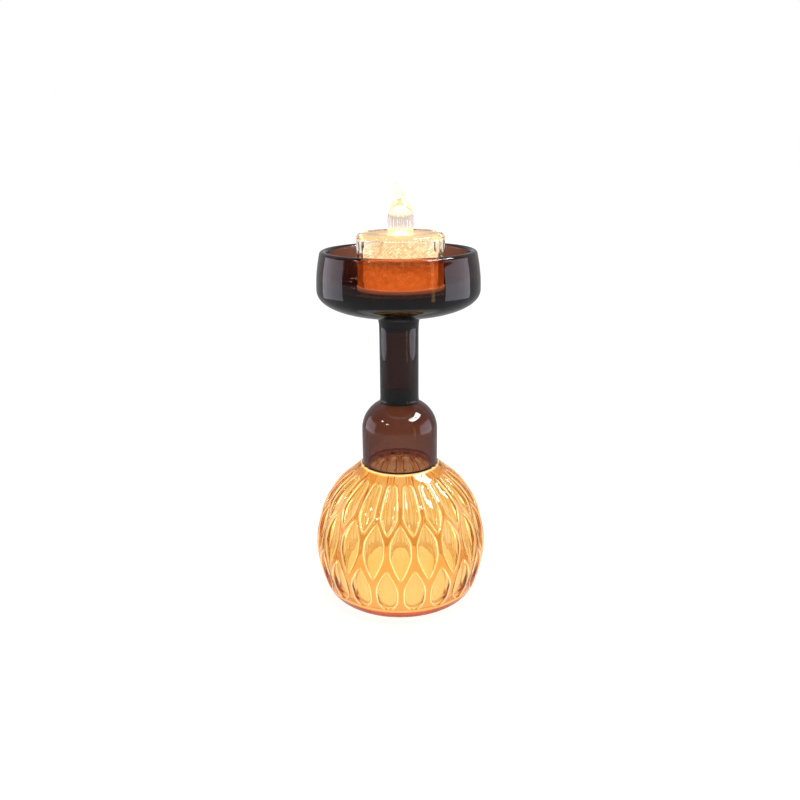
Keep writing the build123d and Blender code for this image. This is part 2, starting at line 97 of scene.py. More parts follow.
def arc(middle, radius, start, end, count):
    """Part of a circle, with its angles in degrees."""
    turn = np.radians(np.linspace(start, end, count))
    return np.stack([middle[0] + radius * np.cos(turn), middle[1] + radius * np.sin(turn)], 1)


def superellipse(radius, height, power, start, end, count):
    """Quarter superellipse: the radius times cos^(2/p) against the height times sin^(2/p)."""
    turn = np.radians(np.linspace(start, end, count))
    return np.stack([radius * np.cos(turn) ** (2 / power), height * np.sin(turn) ** (2 / power)], 1)


def normals(path):
    """Unit normals of a path, to the right of its direction."""
    along = np.gradient(path, axis=0)
    along /= np.hypot(*along.T)[:, None]
    return np.stack([along[:, 1], -along[:, 0]], 1)


# ------------------------------------------------------------------ meshes


def full_turn(columns):
    """Even angles all the way round."""
    return np.linspace(0, 2 * np.pi, columns, endpoint=False)


def rings(path, turn):
    """Turns a (radius, height) path about Z: each of its points becomes a ring at turn's angles."""
    radius, height = path[:, :1], path[:, 1:]
    return np.stack([radius * np.cos(turn), radius * np.sin(turn), height + 0 * turn], -1)


def shell_faces(rows, columns, looped, first):
    """Quads between neighbouring rings, and a fan to a pole at each end unless the rings loop."""
    row = np.arange(rows if looped else rows - 1)[:, None]
    column = np.arange(columns)
    next_row, next_column = (row + 1) % rows, (column + 1) % columns
    quads = np.stack([
        row * columns + column, row * columns + next_column,
        next_row * columns + next_column, next_row * columns + column,
    ], -1).reshape(-1, 4) + first
    if looped:
        return quads, np.zeros((0, 3), int)
    last = first + (rows - 1) * columns
    pole = first + rows * columns
    start = np.stack([np.full(columns, pole), first + next_column, first + column], -1)
    end = np.stack([np.full(columns, pole + 1), last + column, last + next_column], -1)
    return quads, np.concatenate([start, end])


def piece(name, body, stands_for, material, shells, place=(0, 0, 0), marks=None):
    """One closed mesh from shells of (rings, looped), in millimetres about place.

    marks are values kept on its points for the material, one array per name.
    """
    points, quads, triangles = [], [], []
    first = 0
    for grid, looped in shells:
        rows, columns = grid.shape[:2]
        poles = [] if looped else [grid[0].mean(0), grid[-1].mean(0)]
        points += [grid.reshape(-1, 3), *[p[None] for p in poles]]
        q, t = shell_faces(rows, columns, looped, first)
        quads.append(q)
        triangles.append(t)
        first += rows * columns + len(poles)
    points = (np.concatenate(points) + np.array(place)) * MM
    quads, triangles = np.concatenate(quads), np.concatenate(triangles)
    corner_count = np.concatenate([np.full(len(quads), 4), np.full(len(triangles), 3)])
    mesh = bpy.data.meshes.new(name)
    mesh.vertices.add(len(points))
    mesh.vertices.foreach_set("co", points.astype(np.float32).ravel())
    mesh.loops.add(int(corner_count.sum()))
    face_points = np.concatenate([quads.ravel(), triangles.ravel()])
    mesh.loops.foreach_set("vertex_index", face_points.astype(np.int32))
    mesh.polygons.add(len(corner_count))
    starts = np.concatenate([[0], np.cumsum(corner_count)[:-1]])
    mesh.polygons.foreach_set("loop_start", starts.astype(np.int32))
    mesh.update(calc_edges=True)
    mesh.polygons.foreach_set("use_smooth", np.ones(len(corner_count), bool))
    for label, values in (marks or {}).items():
        mark = mesh.attributes.new(label, "FLOAT", "POINT")
        mark.data.foreach_set("value", values.astype(np.float32))
    made = bpy.data.objects.new(name, mesh)
    bpy.context.scene.collection.objects.link(made)
    made.data.materials.append(material)
    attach(made, body)
    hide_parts(*stands_for)
    return made


# ------------------------------------------------------------------ materials


def linear(hex_colour):
    """An sRGB hex colour as the linear colour that a shader takes."""
    c = np.array([int(hex_colour[i:i + 2], 16) for i in (1, 3, 5)]) / 255
    c = np.where(c <= 0.04045, c / 12.92, ((c + 0.055) / 1.055) ** 2.4)
    return (*map(float, c), 1.0)


def add(tree, kind, settings=None, **inputs):
    """Adds a node; settings are its own properties, inputs are values or other nodes' outputs.

    An input's name has its spaces written as underscores, and a name like in_1 means input 1.
    """
    node = tree.nodes.new(kind)
    for key, value in (settings or {}).items():
        setattr(node, key, value)
    for key, value in inputs.items():
        socket = node.inputs[int(key[3:])] if key.startswith("in_") else node.inputs[key.replace("_", " ")]
        if isinstance(value, bpy.types.NodeSocket):
            tree.links.new(value, socket)
        else:
            socket.default_value = value
    return node


def ramp(tree, factor, stops):
    """A colour ramp with the given (place, hex colour) stops."""
    node = add(tree, "ShaderNodeValToRGB", Fac=factor)
    elements = node.color_ramp.elements
    while len(elements) < len(stops):
        elements.new(0.5)
    for element, (place, colour) in zip(elements, stops):
        element.position = place
        element.color = linear(colour)
    return node.outputs["Color"]


def new_material(name):
    """An empty node material with its output."""
    material = bpy.data.materials.new(name)
    material.use_nodes = True
    tree = material.node_tree
    tree.nodes.clear()
    return material, tree, add(tree, "ShaderNodeOutputMaterial")


def coloured_glass(name, clear_colour, density, ior, waviness, wave_mm, painted_leaf_light=False):
    """Soda-lime glass coloured through: it darkens with the distance that light runs inside it.

    The colour is what the glass lets through best and density is per metre. A slow noise bends
    the surface a little, as pressed or blown glass is never quite even. With painted leaf light on,
    the glass also takes a painted shade at its surface, by a mark on its points: most between the
    leaves, little in their beds, and none on their raised edges, which glow with a painted cream
    highlight instead; the same mark paints a faint glow on the foot and on the mouth's bead.
    """
    material, tree, out = new_material(name)
    place = add(tree, "ShaderNodeTexCoord").outputs["Object"]
    wave = add(tree, "ShaderNodeTexNoise", Vector=place, Scale=1 / (wave_mm * MM), Detail=2.0)
    bump = add(tree, "ShaderNodeBump", Strength=1.0, Distance=waviness * MM, Height=wave.outputs["Fac"])
    glass = add(
        tree, "ShaderNodeBsdfPrincipled", Roughness=0.0, IOR=ior, Transmission_Weight=1.0,
        Base_Color=(1, 1, 1, 1), Normal=bump.outputs["Normal"],
    )
    if painted_leaf_light:
        # Painted light: the mark on the points darkens the ground between the leaves with a painted shade,
        # and makes the leaves' raised edges, the foot and the mouth's bead glow with a painted cream
        # highlight.
        shade_and_glow = add(tree, "ShaderNodeAttribute", {"attribute_name": "shade_and_glow"}).outputs["Fac"]
        tint = ramp(tree, shade_and_glow, [(0.0, "#FFFFFF"), (0.5, "#FEF1D2"), (1.0, "#EBB880")])
        painted_edge_highlight = ramp(tree, shade_and_glow, [(0.0, "#D8C498"), (0.35, "#000000")])
        tree.links.new(tint, glass.inputs["Base Color"])
        tree.links.new(painted_edge_highlight, glass.inputs["Emission Color"])
        glass.inputs["Emission Strength"].default_value = 1.0
    inside = add(tree, "ShaderNodeVolumeAbsorption", Color=clear_colour, Density=density)
    tree.links.new(glass.outputs["BSDF"], out.inputs["Surface"])
    tree.links.new(inside.outputs["Volume"], out.inputs["Volume"])
    return material


FLOW_MM = 2.5                   # how far apart the faint flow marks of clear plastic lie
FLOW_DEEP = 0.006


def flow_marks(tree, place):
    """The faint unevenness that clear plastic keeps from flowing into its mould or joint."""
    flow = add(tree, "ShaderNodeTexNoise", Vector=place, Scale=1 / (FLOW_MM * MM), Detail=1.0)
    bump = add(tree, "ShaderNodeBump", Strength=1.0, Distance=FLOW_DEEP * MM, Height=flow.outputs["Fac"])
    return bump.outputs["Normal"]


def cured_adhesive(name):
    """Clear UV-cured acrylic adhesive: a colourless, glossy film between two pieces of glass."""
    material, tree, out = new_material(name)
    place = add(tree, "ShaderNodeTexCoord").outputs["Object"]
    film = add(
        tree, "ShaderNodeBsdfPrincipled", Roughness=0.0, IOR=1.5, Transmission_Weight=1.0,
        Base_Color=linear("#FFFDF8"), Normal=flow_marks(tree, place),
    )
    tree.links.new(film.outputs["BSDF"], out.inputs["Surface"])
    return material


MOTTLE_MM = 20 / 3              # patches of slightly darker and lighter plastic
GRAIN_DEEP = 0.01               # depth of a spark-eroded mould's grain


def moulded_plastic(name, colour, darker, roughness, grain_mm):
    """Opaque moulded plastic: an even colour with a faint mottle and a fine spark-eroded grain."""
    material, tree, out = new_material(name)
    place = add(tree, "ShaderNodeTexCoord").outputs["Object"]
    mottle = add(tree, "ShaderNodeTexNoise", Vector=place, Scale=1 / (MOTTLE_MM * MM), Detail=3.0)
    shade = ramp(tree, mottle.outputs["Fac"], [(0.35, darker), (0.65, colour)])
    grain = add(tree, "ShaderNodeTexNoise", Vector=place, Scale=1 / (grain_mm * MM), Detail=2.0)
    bump = add(tree, "ShaderNodeBump", Strength=0.5, Distance=GRAIN_DEEP * MM, Height=grain.outputs["Fac"])
    plastic = add(
        tree, "ShaderNodeBsdfPrincipled", Base_Color=shade, Roughness=roughness, IOR=1.54,
        Normal=bump.outputs["Normal"],
    )
    tree.links.new(plastic.outputs["BSDF"], out.inputs["Surface"])
    return material


STREAK_STRETCH = 12.0           # how many times longer than wide a rolling streak is


def sheet_metal(name, colour, darker, roughness, streak_mm):
    """Rolled or plated metal: fine streaks one way that stretch its highlights."""
    material, tree, out = new_material(name)
    place = add(tree, "ShaderNodeTexCoord").outputs["Object"]
    squeeze = (1.0, STREAK_STRETCH, STREAK_STRETCH)
    stretched = add(tree, "ShaderNodeMapping", Vector=place, Scale=squeeze).outputs["Vector"]
    streak_scale = 1 / (STREAK_STRETCH * streak_mm * MM)
    streak = add(tree, "ShaderNodeTexNoise", Vector=stretched, Scale=streak_scale, Detail=3.0)
    shade = ramp(tree, streak.outputs["Fac"], [(0.3, darker), (0.7, colour)])
    rough = add(
        tree, "ShaderNodeMapRange",
        Value=streak.outputs["Fac"], To_Min=roughness * 0.8, To_Max=roughness * 1.3,
    )
    metal = add(
        tree, "ShaderNodeBsdfPrincipled", Base_Color=shade, Metallic=1.0, Roughness=rough.outputs["Result"]
    )
    tree.links.new(metal.outputs["BSDF"], out.inputs["Surface"])
    return material


# ------------------------------------------------------------------ glass holder

GLOBE_WALL = 4.0
GLOBE_FOOT_R = 27.7
GLOBE_MOUTH_R = 17.5
GLOBE_OUTLINE = [
    (GLOBE_FOOT_R, 0), (33.4, 2.4), (35.3, 5.4), (37.2, 12.0), (39.15, 21.0), (38.8, 29.6),
    (37.1, 38.1), (33.4, 46.6), (27.5, 54.5), (20.9, 60.1), (GLOBE_MOUTH_R, GLOBE_TOP),
]
LEAVES = 20
LEAF_DEPTH = 1.45
LEAF_SQUARENESS = 3.4           # 2 is a plain hollow; more is a flatter bed with steeper sides
LEAF_POINT_POWER = 1.75         # how a leaf narrows to a point
LEAF_BLUNT_POWER = 2.6          # and how it rounds off to a blunt end
LEAF_BEAD = 0.24                # raised edge left round each leaf by the mould
LEAF_BEAD_WIDTH = 0.32
LEAF_BEAD_FADE = 4              # the bead is whole where a leaf has a quarter of its full width
# Each row: lowest, widest and highest place of a leaf, its width, and whether each end is blunt.
LEAVES_IN_LINE = [(23.1, 36.5, 47.0, 9.6, False, False)]
LEAVES_BETWEEN = [(7.6, 17.0, 28.1, 9.4, True, False), (42.1, 51.5, 60.2, 7.9, False, True)]
LEAF_COLUMNS = np.array([0, 0.4, 0.68, 0.84, 0.92, 0.97])   # across half a leaf, closer at its edge
GROUND_COLUMNS = np.array([0, 0.18, 0.5, 0.82, 1.0])        # across the ground between two leaves
LEAST_LEAF = 0.5                # half a leaf's columns never close up more than this
LEAST_GROUND = 0.9              # least ground between the middles of two rows' leaves
OUTER_ROWS = 116
INNER_ROWS = 20
FOOT_RINGS = (8.0, 20.0)        # radii of the rings under the foot, and of those on the floor inside
FLOOR_RINGS = (6.0, 16.0)
FLOOR_CORNER = 0.4              # from the floor up to the inside wall
MOUTH_LEDGE = 1.2               # from the inside wall up to the mouth
MOUTH_EDGE = 0.3                # small flat between the mouth's rim and its walls
BED_SHADE = 0.5                 # 0 is bare glass with the full painted edge highlight, and 1 is the full painted shade of the ground
FOOT_GLOW = 0.2                # the foot is ground flat, and a little painted glow lights it
FOOT_CORNER = 1.6               # height of the foot's corner
MOUTH_GLOW = 0.12              # painted glow on the bead round the mouth, where the dome stands
MOUTH_BEAD = 0.7
HIGHLIGHT_FADE = 0.8                 # half width at which a leaf's edge takes its full painted highlight


def leaf_width(height, row):
    """Half the width of a row's leaves at each height: a pointed or a blunt end each way."""
    low, widest, high, width, blunt_low, blunt_high = row
    below = np.clip((widest - height) / (widest - low), 0, 1)
    above = np.clip((height - widest) / (high - widest), 0, 1)
    t = np.where(height < widest, below, above)
    pointed = 1 - t**LEAF_POINT_POWER
    blunt = np.sqrt(np.clip(1 - t**LEAF_BLUNT_POWER, 0, 1))
    is_blunt = np.where(height < widest, blunt_low, blunt_high)
    return width / 2 * np.where(is_blunt, blunt, pointed)


def globe_rings():
    """The pressed globe, as rings from the foot's middle up its outside and down its inside, and
    the painted shade and glow on each of its points.

    Half a pitch runs from the middle of a leaf in one row to the middle of its neighbour in the
    next. Its columns follow both leaves' edges, so the edges stay sharp. Across a leaf the depth
    is 1 - |x / half width|^squareness, less towards its ends, with a low bead round its edge.
    """
    outer = smooth_curve(GLOBE_OUTLINE, OUTER_ROWS)
    radius, height = outer[:, 0], outer[:, 1]
    half_pitch = np.pi / LEAVES * radius
    in_line = np.max([leaf_width(height, row) for row in LEAVES_IN_LINE], axis=0)
    between = np.max([leaf_width(height, row) for row in LEAVES_BETWEEN], axis=0)
    a, b = np.maximum(in_line, LEAST_LEAF), np.maximum(between, LEAST_LEAF)
    squeeze = np.minimum(1, (half_pitch - LEAST_GROUND) / (a + b))
    a, b = a * squeeze, b * squeeze
    band = half_pitch - a - b
    across = np.concatenate([
        a[:, None] * LEAF_COLUMNS,
        a[:, None] + band[:, None] * GROUND_COLUMNS,
        half_pitch[:, None] - b[:, None] * LEAF_COLUMNS[::-1],
    ], 1)
    in_line, between = in_line * squeeze, between * squeeze
    depth = leaf_relief(across, in_line, LEAVES_IN_LINE)
    depth += leaf_relief(half_pitch[:, None] - across, between, LEAVES_BETWEEN)
    # Painted shade on the ground between the leaves, and a painted highlight on their edges.
    shade_and_glow = leaf_shade_and_glow(across, in_line) * leaf_shade_and_glow(half_pitch[:, None] - across, between)
    mirrored = np.concatenate([across[:, :-1], 2 * half_pitch[:, None] - across[:, :0:-1]], 1)
    depth = np.concatenate([depth[:, :-1], depth[:, :0:-1]], 1)
    shade_and_glow = np.tile(np.concatenate([shade_and_glow[:, :-1], shade_and_glow[:, :0:-1]], 1), (1, LEAVES))
    # Painted glow on the foot and on the bead round the mouth.
    shade_and_glow[height < FOOT_CORNER] = FOOT_GLOW
    shade_and_glow[height > GLOBE_TOP - MOUTH_BEAD] = MOUTH_GLOW
    turn = mirrored / radius[:, None]
    start = -np.pi / 2 + np.arange(LEAVES) * 2 * np.pi / LEAVES
    turn = (turn[:, None, :] + start[None, :, None]).reshape(len(outer), -1)
    depth = np.tile(depth, (1, LEAVES))
    out = normals(outer)
    r = radius[:, None] - depth * out[:, :1]
    z = height[:, None] - depth * out[:, 1:]
    outside = np.stack([r * np.cos(turn), r * np.sin(turn), z], -1)
    inside = outer - GLOBE_WALL * out
    above_floor, below_mouth = GLOBE_WALL + FLOOR_CORNER, GLOBE_TOP - MOUTH_LEDGE
    inside = inside[(inside[:, 1] > above_floor) & (inside[:, 1] < below_mouth)]
    inside = inside[np.linspace(0, len(inside) - 1, INNER_ROWS).astype(int)]
    floor = [(r, GLOBE_WALL) for r in (*FLOOR_RINGS, GLOBE_FOOT_R - GLOBE_WALL)]
    mouth_inner_r = GLOBE_MOUTH_R - GLOBE_WALL
    mouth = [
        (mouth_inner_r, GLOBE_TOP - MOUTH_EDGE), (mouth_inner_r + MOUTH_EDGE, GLOBE_TOP),
        (GLOBE_MOUTH_R - MOUTH_EDGE, GLOBE_TOP),
    ]
    inner = rings(np.concatenate([floor, inside, mouth])[::-1], turn[-1])
    foot = rings(np.array([(r, 0.0) for r in FOOT_RINGS]), turn[0])
    grid = np.concatenate([foot, outside, inner])
    marks = np.full(grid.shape[:2], BED_SHADE)
    marks[:len(foot)] = FOOT_GLOW
    marks[len(foot):len(foot) + len(outside)] = shade_and_glow
    return grid, np.append(marks.ravel(), [FOOT_GLOW, BED_SHADE])


def leaf_shade_and_glow(across, half_width):
    """Painted shade and glow by distance from a leaf's middle: half shade in its bed, a painted highlight
    on its edge, full shade outside.
    """
    wide = half_width[:, None]
    edge_highlight = np.exp(-(((across - wide) / LEAF_BEAD_WIDTH) ** 4)) * np.clip(wide / HIGHLIGHT_FADE, 0, 1)
    return np.where(across < wide, BED_SHADE, 1.0) * (1 - edge_highlight)


def leaf_relief(across, half_width, rows):
    """How far the surface lies under the ground at each distance from the leaf's middle line."""
    widest = max(row[3] for row in rows) / 2
    wide = half_width[:, None]
    share = np.clip(wide / widest, 0, 1)
    edge = np.clip(across / np.maximum(wide, 1e-6), 0, 1)
    hollow = LEAF_DEPTH * share * (1 - edge**LEAF_SQUARENESS)
    bead = LEAF_BEAD * np.exp(-(((across - wide) / LEAF_BEAD_WIDTH) ** 2))
    bead = bead * np.clip(share * LEAF_BEAD_FADE, 0, 1)
    return np.where(wide > 1e-6, hollow, 0) - bead


DOME_R = DOME_HIGH[0]
DOME_WALL = 2.2
DOME_SKIRT = 79.3
DOME_CAP = 14.9
DOME_POWER = 2.13
DOME_LIP_R = 0.35
DOME_COLUMNS = 160


def dome_path():
    """The dome from the middle of its ceiling down inside, round its foot and up to its seat."""
    foot, seat = DOME_LOW[2], DOME_HIGH[2]
    inner_r = DOME_R - DOME_WALL
    inside = superellipse(inner_r, DOME_CAP - DOME_WALL, DOME_POWER, 86, 0, 30) + [0, DOME_SKIRT]
    outside = superellipse(DOME_R, DOME_CAP, DOME_POWER, 0, 90, 60) + [0, DOME_SKIRT]
    outside = outside[outside[:, 1] < seat - 0.15]
    lip = DOME_LIP_R
    return np.concatenate([
        inside, line((inner_r, DOME_SKIRT - 1), (inner_r, foot + 1), 12),
        arc((inner_r + lip, foot + lip), lip, 180, 270, 5),
        arc((DOME_R - lip, foot + lip), lip, 270, 360, 5),
        line((DOME_R, foot + 1), (DOME_R, DOME_SKIRT - 1), 12), outside,
        [(outside[-1, 0] - 0.3, seat), (6.0, seat), (2.0, seat)],
    ])


STEM_R = 8.65
STEM_FLARE = STEM_HIGH[0] - STEM_R
STEM_FLARE_FADE = 1.6           # height over which the top's flare falls to a third
STEM_FOOT_FLARE = 0.35
STEM_FOOT_FADE = 0.6
STEM_EDGE = 0.15                # small flat round each end
STEM_BORE_R = 5.6
STEM_BORE_FOOT, STEM_BORE_TOP = 4.4, 5.0
STEM_BORE_CORNER = 2.2
STEM_COLUMNS, BORE_COLUMNS = 128, 96


def stem_paths():
    """The stem's outside, flared at both ends, and the sealed air space inside it."""
    low, high = STEM_LOW[2], STEM_HIGH[2]
    z = np.linspace(low + 0.2, high - 0.1, 60)
    top_flare = STEM_FLARE * np.exp(-(high - z) / STEM_FLARE_FADE)
    foot_flare = STEM_FOOT_FLARE * np.exp(-(z - low) / STEM_FOOT_FADE)
    radius = STEM_R + top_flare + foot_flare
    outside = np.concatenate([
        [(2, low), (6, low), (radius[0] - STEM_EDGE, low)], np.stack([radius, z], 1),
        [(radius[-1] - STEM_EDGE, high), (6, high), (2, high)],
    ])
    top, foot = high - STEM_BORE_TOP, low + STEM_BORE_FOOT
    corner = STEM_BORE_CORNER
    bore = np.concatenate([
        [(1.5, top)], arc((STEM_BORE_R - corner, top - corner), corner, 90, 0, 9),
        line((STEM_BORE_R, top - corner - 1), (STEM_BORE_R, foot + 2), 20),
        arc((STEM_BORE_R - 1, foot + 1), 1.0, 0, -90, 7), [(1.5, foot)],
    ])
    return outside, bore


DISH_R = 35.3
DISH_BELLY = 11.9
DISH_POWER = 2.3
DISH_SHOULDER = (33.7, 158.1)
DISH_WALL_POWER = 2.04          # how late the wall starts to lean in
LIP_R = 1.65
DISH_FLOOR = CANDLE_Z - 0.05
DISH_FLOOR_R = 27.0
DISH_INNER_R = 31.5
DISH_COLUMNS = 200


def dish_path():
    """The dish from the middle of its underside out, up, over the lip and down to its floor."""
    low = DISH_LOW[2]
    belly = low + DISH_BELLY
    under = superellipse(DISH_R, -DISH_BELLY, DISH_POWER, 90, 0, 60) + [0, belly]
    under = under[under[:, 0] > 3]
    up = np.linspace(0, 1, 24)[1:]
    wall_r = DISH_R - (DISH_R - DISH_SHOULDER[0]) * up**DISH_WALL_POWER
    wall = np.stack([wall_r, belly + (DISH_SHOULDER[1] - belly) * up], 1)
    lip = arc((DISH_SHOULDER[0] - LIP_R, DISH_SHOULDER[1]), LIP_R, 0, 180, 18)[1:]
    inner = smooth_curve([
        (DISH_SHOULDER[0] - 2 * LIP_R, DISH_SHOULDER[1]), (DISH_INNER_R, DISH_FLOOR + 9.5),
        (DISH_INNER_R - 0.6, DISH_FLOOR + 3.8), (DISH_FLOOR_R, DISH_FLOOR),
    ], 44)[1:]
    floor = [(22, DISH_FLOOR), (12, DISH_FLOOR), (3, DISH_FLOOR)]
    return np.concatenate([under, wall, lip, inner, floor])


def make_holder():
    """The glass parts, each turned as one closed skin, and the films of adhesive between them."""
    amber = coloured_glass(
        "pressed_amber_glass", (0.98, 0.71, 0.0, 1), 130.0, 1.52, 0.03, 6.0, painted_leaf_light=True,
    )
    brown = coloured_glass("blown_brown_glass", (0.53, 0.27, 0.14, 1), 950.0, 1.52, 0.02, 14.0)
    drawn = coloured_glass("drawn_brown_glass", (0.526, 0.30, 0.12, 1), 1350.0, 1.52, 0.02, 14.0)
    film = cured_adhesive("uv_cured_adhesive")
    globe, shade_and_glow = globe_rings()
    piece("globe_glass", "holder", ["globe"], amber,
          [(globe, False)], marks={"shade_and_glow": shade_and_glow})
    piece("dome_glass", "holder", ["dome"], brown,
          [(rings(dome_path(), full_turn(DOME_COLUMNS)), False)])
    outside, bore = stem_paths()
    piece("stem_glass", "holder", ["stem"], drawn,
          [(rings(outside, full_turn(STEM_COLUMNS)), False), (rings(bore, full_turn(BORE_COLUMNS)), False)])
    piece("dish_glass", "holder", ["dish"], brown,
          [(rings(dish_path(), full_turn(DISH_COLUMNS)), False)])
    for node in ("dome_bond", "stem_bond", "dish_bond"):
        NODES[node].data.materials.clear()
        NODES[node].data.materials.append(film)


# ------------------------------------------------------------------ tealight

SHELL_WALL_R = 18.55            # the shell between its drips
DRIP_PROUD = 0.42
SHELL_INNER_R = 16.3
SHELL_ROUND = 2.2
POOL_R = 15.6
POOL_DEPTH = 0.9
SHELL_TOP_T = 1.4
FLAME_HOLE_R = 5.7
SHELL_COLUMNS = 240
# Wax drips by azimuth in degrees, drop below the top, and half width in millimetres.
DRIPS = [
    (-178, 8, 2.6), (-165, 15, 1.6), (-150, 6, 2.4), (-136, 12, 1.9), (-120, 5, 2.6), (-104, 7, 1.8),
    (-90, 20, 1.6), (-77, 6, 2.4), (-62, 8, 2.0), (-51, 18, 1.5), (-38, 7, 1.9), (-24, 10, 1.6),
    (-10, 7, 2.2), (8, 16, 1.7), (24, 6, 2.4), (40, 11, 1.8), (58, 5, 2.6), (74, 14, 1.8),
    (90, 7, 2.3), (108, 17, 1.6), (124, 6, 2.4), (140, 10, 1.9), (156, 6, 2.2), (170, 13, 1.7),
]


def drip_relief(turn, drop):
    """How proud the wax drips stand: a round ridge down from the top that ends in a bead."""
    relief = np.zeros(np.broadcast(turn, drop).shape)
    for azimuth, length, half_width in DRIPS:
        away = (turn - np.radians(azimuth) + np.pi) % (2 * np.pi) - np.pi
        across = away * SHELL_WALL_R / half_width
        below = np.clip((drop - (length - half_width)) / half_width, 0, None)
        run = 1 - across**2 - below**2
        swell = np.clip(0.55 + drop / length * 0.45, 0, 1)
        relief = np.maximum(relief, np.sqrt(np.clip(run, 0, 1)) * swell)
    return relief


def candle_shell_rings():
    """The thick clear shell as a loop: up its outside with the drips, over the shallow pool in its
    top to the flame's hole, and back down its inside."""
    low, high = SHELL_LOW[2] - CANDLE_Z, SHELL_HIGH[2] - CANDLE_Z
    wall = line((SHELL_WALL_R, low + 0.2), (SHELL_WALL_R, high - SHELL_ROUND - 0.3), 44)
    edge = arc((SHELL_WALL_R - SHELL_ROUND, high - SHELL_ROUND), SHELL_ROUND, 0, 90, 10)
    radius = np.linspace(POOL_R, FLAME_HOLE_R + 0.3, 16)
    dip = POOL_DEPTH * (1 - ((radius - FLAME_HOLE_R) / (POOL_R - FLAME_HOLE_R)) ** 2)
    pool = np.stack([radius, high - dip], 1)
    under_top = high - POOL_DEPTH - SHELL_TOP_T
    inside = [
        (FLAME_HOLE_R, pool[-1, 1] - 0.3), (FLAME_HOLE_R, under_top + 0.2),
        (FLAME_HOLE_R + 0.2, under_top), (10, under_top), (SHELL_INNER_R - 1.2, under_top),
        (SHELL_INNER_R - 0.35, under_top - 0.35), (SHELL_INNER_R, under_top - 1.2),
        (SHELL_INNER_R, 16), (SHELL_INNER_R, 10), (SHELL_INNER_R, low + 0.3),
        (SHELL_INNER_R + 0.2, low), (SHELL_WALL_R - 0.2, low),
    ]
    path = np.concatenate([wall, edge, pool, inside])
    turn = full_turn(SHELL_COLUMNS)
    grid = rings(path, turn)
    outer_rows = len(wall) + len(edge)
    drop = np.clip(high - path[:outer_rows, 1:], 0, None)
    proud = DRIP_PROUD * drip_relief(turn, drop)
    fade = np.clip((path[:outer_rows, :1] - (SHELL_WALL_R - SHELL_ROUND)) / SHELL_ROUND, 0, 1)
    out = np.stack([np.cos(turn), np.sin(turn)], -1)
    grid[:outer_rows, :, :2] += out * (proud * fade)[..., None]
    return grid


LINER_R = 15.95
LINER_WALL = 0.7
PRISMS_AROUND = 80
PRISM_DEPTH = 0.36
PRISM_STEPS = 4                 # points across one prism
LINER_GAP = 0.35                # air between the liner's top and the shell's
PLAIN_TOP, PLAIN_FOOT = 0.8, 0.4        # plain bands above and below the prisms
PLAIN_FACET, PLAIN_SPARKLE = 0.4, 0.3   # how bright the plain faces are
# Light on the wall by height, and on the top by distance from the middle.
WALL_LIGHT = ([3, 6, 14, 16, 23], [1.3, 1.7, 1.5, 0.9, 0.72])
TOP_LIGHT = ([FLAME_HOLE_R, 8, 12, LINER_R], [1.6, 0.95, 0.62, 0.5])


def sparkle_liner_rings(rng):
    """The thin cup inside the shell, its outside cut all over into small four-sided prisms.

    Each prism is a pyramid: the relief falls evenly from its middle along both diagonals. The
    marks on its points say how much each prism sparkles and how much light reaches it.
    """
    low, high = LINER_LOW[2] - CANDLE_Z, LINER_HIGH[2] - CANDLE_Z - LINER_GAP
    around = PRISMS_AROUND * PRISM_STEPS
    pitch = 2 * np.pi * LINER_R / PRISMS_AROUND
    rows = int(round((high - PLAIN_TOP - low - PLAIN_FOOT) / pitch * PRISM_STEPS))
    z = np.linspace(low + PLAIN_FOOT, high - PLAIN_TOP, rows + 1)
    turn = full_turn(around)
    u = turn / (2 * np.pi) * PRISMS_AROUND
    v = (z[:, None] - z[0]) / pitch
    tent = np.abs((u + v) % 1 - 0.5) + np.abs((u - v) % 1 - 0.5)
    radius = LINER_R - PRISM_DEPTH * tent
    wall = np.stack([radius * np.cos(turn), radius * np.sin(turn), z[:, None] + 0 * u], -1)
    cap = np.array([
        (LINER_R - 0.5, high - 0.15), (LINER_R - 1.0, high), (11, high), (FLAME_HOLE_R + 0.1, high),
        (FLAME_HOLE_R, high - 0.15), (FLAME_HOLE_R, high - LINER_WALL), (10, high - LINER_WALL),
        (LINER_R - 1.6, high - LINER_WALL - 0.2), (LINER_R - 1.5, high - 3), (LINER_R - 1.5, low + 1),
        (LINER_R - 1.4, low), (LINER_R - 0.5, low),
    ])
    grid = np.concatenate([wall, rings(cap, turn)])
    facet = np.concatenate([1 - tent, np.full((len(cap), around), PLAIN_FACET)])
    seed = rng.random((PRISMS_AROUND * 2, PRISMS_AROUND * 2))
    cell_u = np.floor(u + v).astype(int) % seed.shape[0]
    cell_v = np.floor(u - v).astype(int) % seed.shape[1]
    sparkle = np.concatenate([seed[cell_u, cell_v], np.full((len(cap), around), PLAIN_SPARKLE)])
    height = grid[..., 2]
    radius = np.hypot(grid[..., 0], grid[..., 1])
    wall_light = np.interp(height, *WALL_LIGHT) * (0.3 + 0.3 * sparkle + 2.2 * facet**4 * (0.5 + sparkle))
    light = np.where(height > high - 0.6, np.interp(radius, *TOP_LIGHT), wall_light)
    return grid, {"sparkle": (0.6 * facet + 0.4 * sparkle).ravel(), "light": light.ravel()}


FLAME_BASE = 26.9               # local height where the flame leaves the shell's top
# The flame's outline above its base: height, radius and how far its middle leans.
FLAME_OUTLINE = [
    (0.0, 5.4, 0.0), (3.7, 5.62, 0.0), (6.0, 5.4, 0.05), (8.6, 4.75, 0.1), (11.5, 3.45, 0.0),
    (14.8, 2.05, -0.65), (17.8, 1.25, -1.3), (19.3, 0.55, -1.45),
]
FLUTES = 14
FLUTE_DEPTH = 0.10              # as a share of the socket's radius
FLAME_ROWS = 60
FLAME_COLUMNS = 112
FLAME_GLOW_TALL = 19.6          # height over which the flame's colours run
